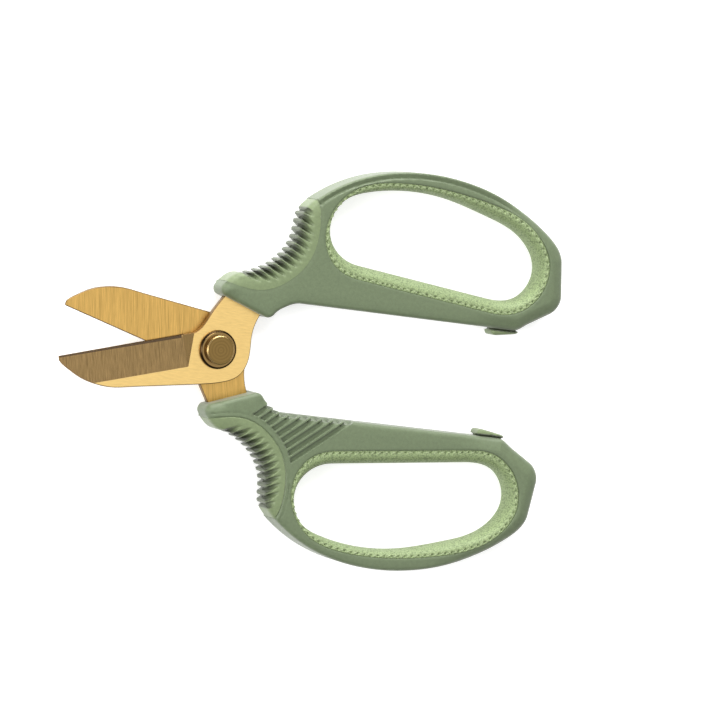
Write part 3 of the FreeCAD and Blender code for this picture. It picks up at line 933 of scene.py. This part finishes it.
def ground_metal(name, colour, rough, contrast, depth):
    """Coated steel with grinding marks that run along one heading in the part's plane."""
    material, tree, shader = new_material(name, colour, rough, metal=1.0)
    place = coordinates(tree, scale=(9.0, 0.12, 1.0))
    mapping = place.node
    swirl = tree.nodes.new("ShaderNodeVectorRotate")
    swirl.rotation_type = "Z_AXIS"
    swirl.inputs["Angle"].default_value = math.radians(90 - GRIND_HEADING)
    source = mapping.inputs["Vector"].links[0].from_socket
    tree.links.new(source, swirl.inputs["Vector"])
    tree.links.new(swirl.outputs["Vector"], mapping.inputs["Vector"])
    streaks = noise(tree, place, scale=0.9, detail=4.0, rough=0.65)
    tint = mottled(tree, streaks, colour, 1 - contrast, 1 + contrast)
    tree.links.new(tint, shader.inputs["Base Color"])
    vary_roughness(tree, shader, streaks, rough - 0.08, rough + 0.10)
    relief(tree, shader, streaks, strength=0.35, depth=depth)
    return material


def satin_metal(name, colour, rough):
    """Coated steel with a fine blasted satin surface."""
    material, tree, shader = new_material(name, colour, rough, metal=1.0)
    fine = noise(tree, coordinates(tree), scale=4.0, detail=5.0, rough=0.75)
    drawn_out = coordinates(tree, scale=(0.35, 2.2, 1), turn=-20)
    cloud = noise(tree, drawn_out, scale=0.8, detail=4.0, rough=0.7)
    tree.links.new(mottled(tree, cloud, colour, 0.90, 1.08), shader.inputs["Base Color"])
    vary_roughness(tree, shader, fine, rough - 0.06, rough + 0.08)
    relief(tree, shader, fine, strength=0.35, depth=0.03)
    return material


def turned_metal(name, colour, rough, depth):
    """Plated steel with concentric turning marks about the pivot."""
    material, tree, shader = new_material(name, colour, rough, metal=1.0)
    place = coordinates(tree, shift=(-PIVOT.x / MM, -PIVOT.y / MM, 0))
    rings = tree.nodes.new("ShaderNodeTexWave")
    rings.wave_type = "RINGS"
    rings.rings_direction = "Z"
    set_inputs(rings, {"Scale": 0.30, "Distortion": 2.6, "Detail": 3.0})
    tree.links.new(place, rings.inputs["Vector"])
    tint = mottled(tree, rings.outputs["Fac"], colour, 0.92, 1.08, start=0.2, end=0.8)
    tree.links.new(tint, shader.inputs["Base Color"])
    relief(tree, shader, rings.outputs["Fac"], strength=0.4, depth=depth)
    return material


# ------------------------ edges of the frame's meshes
SAME_CORNER = 0.001 * MM    # corners of a frame mesh nearer than this belong together
WORN_ANGLE = 35             # edges steeper than this, in degrees, are worn round


def sharp_edges(angle):
    """Modifier group that shades edges steeper than an angle as sharp."""
    group = bpy.data.node_groups.new("sharp_edges", "GeometryNodeTree")
    nodes, link = group.nodes, group.links.new
    for way in ("INPUT", "OUTPUT"):
        group.interface.new_socket("Geometry", in_out=way, socket_type="NodeSocketGeometry")
    start = nodes.new("NodeGroupInput")
    end = nodes.new("NodeGroupOutput")
    plain = nodes.new("GeometryNodeRemoveAttribute")
    plain.inputs["Name"].default_value = "custom_normal"
    fold = nodes.new("GeometryNodeInputMeshEdgeAngle")
    steep = nodes.new("FunctionNodeCompare")
    steep.inputs["B"].default_value = math.radians(angle)
    crease = nodes.new("GeometryNodeSetShadeSmooth")
    crease.domain = "EDGE"
    crease.inputs["Shade Smooth"].default_value = False
    link(start.outputs[0], plain.inputs["Geometry"])
    link(plain.outputs["Geometry"], crease.inputs["Geometry"])
    link(fold.outputs["Unsigned Angle"], steep.inputs["A"])
    link(steep.outputs["Result"], crease.inputs["Selection"])
    link(crease.outputs["Geometry"], end.inputs[0])
    return group


def finish_cad(node, material, width, edge_slot=-1, crease=25):
    """Material and small worn edges for a piece that stays as the frame has it."""
    obj = frame["nodes"][node]
    obj.data.materials.clear()
    obj.data.materials.append(material)
    join = obj.modifiers.new("joined_faces", "WELD")
    join.merge_threshold = SAME_CORNER
    edge = obj.modifiers.new("worn_edges", "BEVEL")
    # edge_slot can give the worn edges a dark material as painted shade, as the blades do
    edge.material = edge_slot
    edge.width = width * MM
    edge.segments = 2
    edge.limit_method = "ANGLE"
    edge.angle_limit = math.radians(WORN_ANGLE)
    obj.modifiers.new("sharp_edges", "NODES").node_group = sharp_edges(crease)
    return obj


# ------------------------ pieces
CORE_GREEN = (0.112, 0.149, 0.077)
PAD_GREEN = (0.153, 0.200, 0.094)
LEATHER_GREEN = (0.235, 0.305, 0.143)
THREAD_GREEN = (0.34, 0.41, 0.23)
GOLD = (0.83, 0.583, 0.220)
GROUND_GOLD = (0.60, 0.375, 0.110)
BEVEL_BROWN = (0.235, 0.155, 0.066)
# painted shade: the honed strip is coloured near black so that it stays dark under the key light
HONE_SHADE_BROWN = (0.050, 0.033, 0.019)
# painted shade: a darker copy of the bevel brown for the run-out facet, which catches the lights
RUN_OUT_SHADE_BROWN = (0.115, 0.075, 0.030)
# painted shade: blade side walls and worn edges coloured dark where they lie in shade and mirror
# dark surroundings
WALL_SHADE_BROWN = (0.22, 0.14, 0.060)
BRONZE = (0.22, 0.140, 0.046)
# painted reflection: the washer's slopes are coloured near black as if mirroring dark surroundings
SLOPE_SHADE_BRONZE = (0.040, 0.024, 0.011)
# painted highlight: a brighter copy of the bronze for the bolt's chamfer ring
CHAMFER_HIGHLIGHT_BRASS = (0.40, 0.28, 0.12)
RING_BRASS = (0.26, 0.165, 0.062)
SPRING_GREY = (0.35, 0.34, 0.32)
NYLON_WHITE = (0.70, 0.70, 0.67)

core_look = moulded("core_plastic", CORE_GREEN, 0.52, grain=0.35)
pad_look = moulded("pad_rubber", PAD_GREEN, 0.50, grain=0.20)
stop_look = moulded("stop_rubber", PAD_GREEN, 0.48, grain=0.20)
liner_look = leather("liner_leather", LEATHER_GREEN)
stitch_look = thread_look("stitch_thread", THREAD_GREEN)
satin_gold = satin_metal("gold_satin", GOLD, 0.34)
inner_gold = ground_metal("gold_ground", GROUND_GOLD, 0.36, contrast=0.36, depth=0.03)
bevel_look = ground_metal("gold_bevel", BEVEL_BROWN, 0.36, contrast=0.50, depth=0.03)
run_out_shade_look = ground_metal("gold_run_out_painted_shade", RUN_OUT_SHADE_BROWN, 0.50, contrast=0.35, depth=0.03)
hone_shade_look = ground_metal("gold_hone_painted_shade", HONE_SHADE_BROWN, 0.42, contrast=0.10, depth=0.02)
wall_shade_look = satin_metal("gold_wall_painted_shade", WALL_SHADE_BROWN, 0.40)
washer_look = turned_metal("washer_bronze", RING_BRASS, 0.16, depth=0.004)
bolt_look = turned_metal("bolt_bronze", BRONZE, 0.34, depth=0.02)
washer_slope_shade = satin_metal("washer_slope_shade", SLOPE_SHADE_BRONZE, 0.25)
chamfer_highlight_look = satin_metal("chamfer_painted_highlight", CHAMFER_HIGHLIGHT_BRASS, 0.36)
spring_look = turned_metal("spring_steel", SPRING_GREY, 0.32, depth=0.01)
nylon_look = moulded("nylon", NYLON_WHITE, 0.50, grain=0.25)

for label, side, body in SIDES:
    core = build_core(f"{label}_core_skin", side, body, core_look)
    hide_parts(f"{label}_core")
    finger_pad = build_pad(f"{label}_pad_skin", side, body, pad_look)
    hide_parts(f"{label}_pad")
    liner = build_liner(f"{label}_liner_skin", side, body, liner_look)
    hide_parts(f"{label}_liner")
    stitches = build_stitches(f"{label}_stitches", side, body, stitch_look)
    stop = build_stop(f"{label}_stop_skin", side, body, stop_look)
    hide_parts(f"{label}_stop")

BLADE_LOOKS = (satin_gold, inner_gold, bevel_look, hone_shade_look, wall_shade_look, run_out_shade_look)
SATIN, INNER, BEVEL, HONED, WALL, RUN_OUT = range(len(BLADE_LOOKS))
UNDER, UPRIGHT, STEEP, SLOPING = -0.9, 0.3, 0.97, 0.999     # limits of a normal's upward part
ASKEW = 0.35                # a steep facet that leans along the blade by more is the run-out


def blade_slot(normal, side):
    """Material slot of a blade facet, from the way it faces.
    The upright and steep facets take darker copies of the gold as painted shade.
    """
    level = normal.z * side
    if level < UNDER:
        return INNER
    if level < UPRIGHT:
        return WALL
    if level < STEEP:
        return RUN_OUT if abs(normal.x) > ASKEW else HONED
    return BEVEL if level < SLOPING else SATIN


def dress_blade(node, side):
    """Satin outside, ground inside, ground bevel.
    The honed strip, run-out, side walls and worn edges take darker copies as painted shade.
    """
    obj = finish_cad(node, satin_gold, width=0.28, edge_slot=WALL, crease=4)
    obj.modifiers["worn_edges"].use_clamp_overlap = False
    for material in BLADE_LOOKS[1:]:
        obj.data.materials.append(material)
    for polygon in obj.data.polygons:
        polygon.material_index = blade_slot(polygon.normal, side)


def dress_by_tilt(node, flat_look, slope_painted_light_look, width):
    """One material where a turned piece is flat on top, and on its slopes a copy that paints the
    light:
    painted shade on the washer, a painted highlight on the bolt.
    """
    steepest, flattest = 0.05, 0.90     # upward part of the normal of a sloping facet
    obj = finish_cad(node, flat_look, width)
    obj.data.materials.append(slope_painted_light_look)
    for polygon in obj.data.polygons:
        if steepest < polygon.normal.z < flattest:
            polygon.material_index = 1


dress_blade("front_blade", 1)
dress_blade("rear_blade", -1)
# painted reflection: the washer's sloping ring takes the near black copy of the bronze
dress_by_tilt("front_washer", washer_look, washer_slope_shade, width=0.05)
# painted highlight: the bolt's chamfer takes the bright brass copy
dress_by_tilt("pivot_bolt", bolt_look, chamfer_highlight_look, width=0.04)
finish_cad("rear_washer", bolt_look, width=0.05)
finish_cad("pivot_nut", bolt_look, width=0.15)
finish_cad("spring_washer", spring_look, width=0.05)
finish_cad("nut_ring", nylon_look, width=0.05)


# ------------------------ room, light and camera
FLOOR_SIZE = 4.0            # metres from the middle to each side
FLOOR_GLOW = 0.52           # brightens the floor to a white ground
SKY = [(0.0, (0.07, 0.065, 0.06)), (0.50, (0.12, 0.11, 0.10)),
       (0.78, (0.88, 0.88, 0.88)), (1.0, (1.0, 1.0, 1.0))]
SKY_STRENGTH = 1.15
CAMERA_SIDE = math.radians(-22.5)   # lean from straight above towards the blades
CAMERA_UP = math.radians(5.0)       # and towards the upper handle
CAMERA_ROLL = math.radians(8.3)
CAMERA_AIM = PIVOT + Vector((0.0008, 0, 0))     # what the lens leans about
CAMERA_REACH = 1.5                  # metres from that point
CAMERA_SHIFT = (0.04862, -0.00367)  # metres to the right and up, so that the tool is central
LENS = 220.6


def build_floor():
    """White ground below the tool."""
    mesh = bpy.data.meshes.new("floor")
    corners = [(x * FLOOR_SIZE, y * FLOOR_SIZE, 0) for x, y in ((-1, -1), (1, -1), (1, 1), (-1, 1))]
    mesh.from_pydata(corners, [], [(0, 1, 2, 3)])
    material, _, shader = new_material("floor_white", (0.75, 0.75, 0.75), 0.9, specular=0.0)
    set_inputs(shader, {"Emission Color": (1, 1, 1, 1), "Emission Strength": FLOOR_GLOW})
    mesh.materials.append(material)
    add_object("floor", mesh)


def area_light(name, place, width, height, power):
    """Rectangular light that points at the pivot."""
    light = bpy.data.lights.new(name, "AREA")
    light.shape = "RECTANGLE"
    light.size = width
    light.size_y = height
    light.energy = power
    obj = add_object(name, light)
    obj.location = place
    obj.rotation_euler = (PIVOT - Vector(place)).to_track_quat("-Z", "Y").to_euler()


def build_lights():
    """Sky that is bright overhead and dim low down, and three soft lights."""
    world = bpy.data.worlds.new("studio")
    world.use_nodes = True
    tree = world.node_tree
    place = tree.nodes.new("ShaderNodeTexCoord")
    split = tree.nodes.new("ShaderNodeSeparateXYZ")
    tree.links.new(place.outputs["Generated"], split.inputs["Vector"])
    background = tree.nodes["Background"]
    tree.links.new(ramp(tree, split.outputs["Z"], SKY), background.inputs["Color"])
    background.inputs["Strength"].default_value = SKY_STRENGTH
    bpy.context.scene.world = world
    area_light("key", (-0.35, 1.1, 1.2), width=0.9, height=0.9, power=15)
    area_light("rim", (0.05, 1.35, 0.26), width=1.2, height=0.4, power=22)
    area_light("side", (-1.2, -0.15, 0.70), width=0.6, height=0.8, power=13)


def build_camera():
    """Long lens that looks at the tool from a little to the blade side."""
    side, up = CAMERA_SIDE, CAMERA_UP
    back = Vector((math.sin(side) * math.cos(up), math.sin(up), math.cos(side) * math.cos(up)))
    right = Vector((math.cos(side), 0, -math.sin(side)))
    level = Matrix((right, back.cross(right), back)).transposed()
    turn = Matrix.Rotation(CAMERA_ROLL, 3, "Z") @ level
    right, above, back = turn.col
    data = bpy.data.cameras.new("camera")
    data.sensor_width = 36
    data.lens = LENS
    data.clip_end = 20
    camera = add_object("camera", data)
    shift = right * CAMERA_SHIFT[0] + above * CAMERA_SHIFT[1]
    place = CAMERA_AIM + back * CAMERA_REACH + shift
    camera.matrix_world = Matrix.Translation(place) @ turn.to_4x4()
    bpy.context.scene.camera = camera


build_floor()
build_lights()
build_camera()
bpy.context.scene.view_settings.view_transform = "Standard"
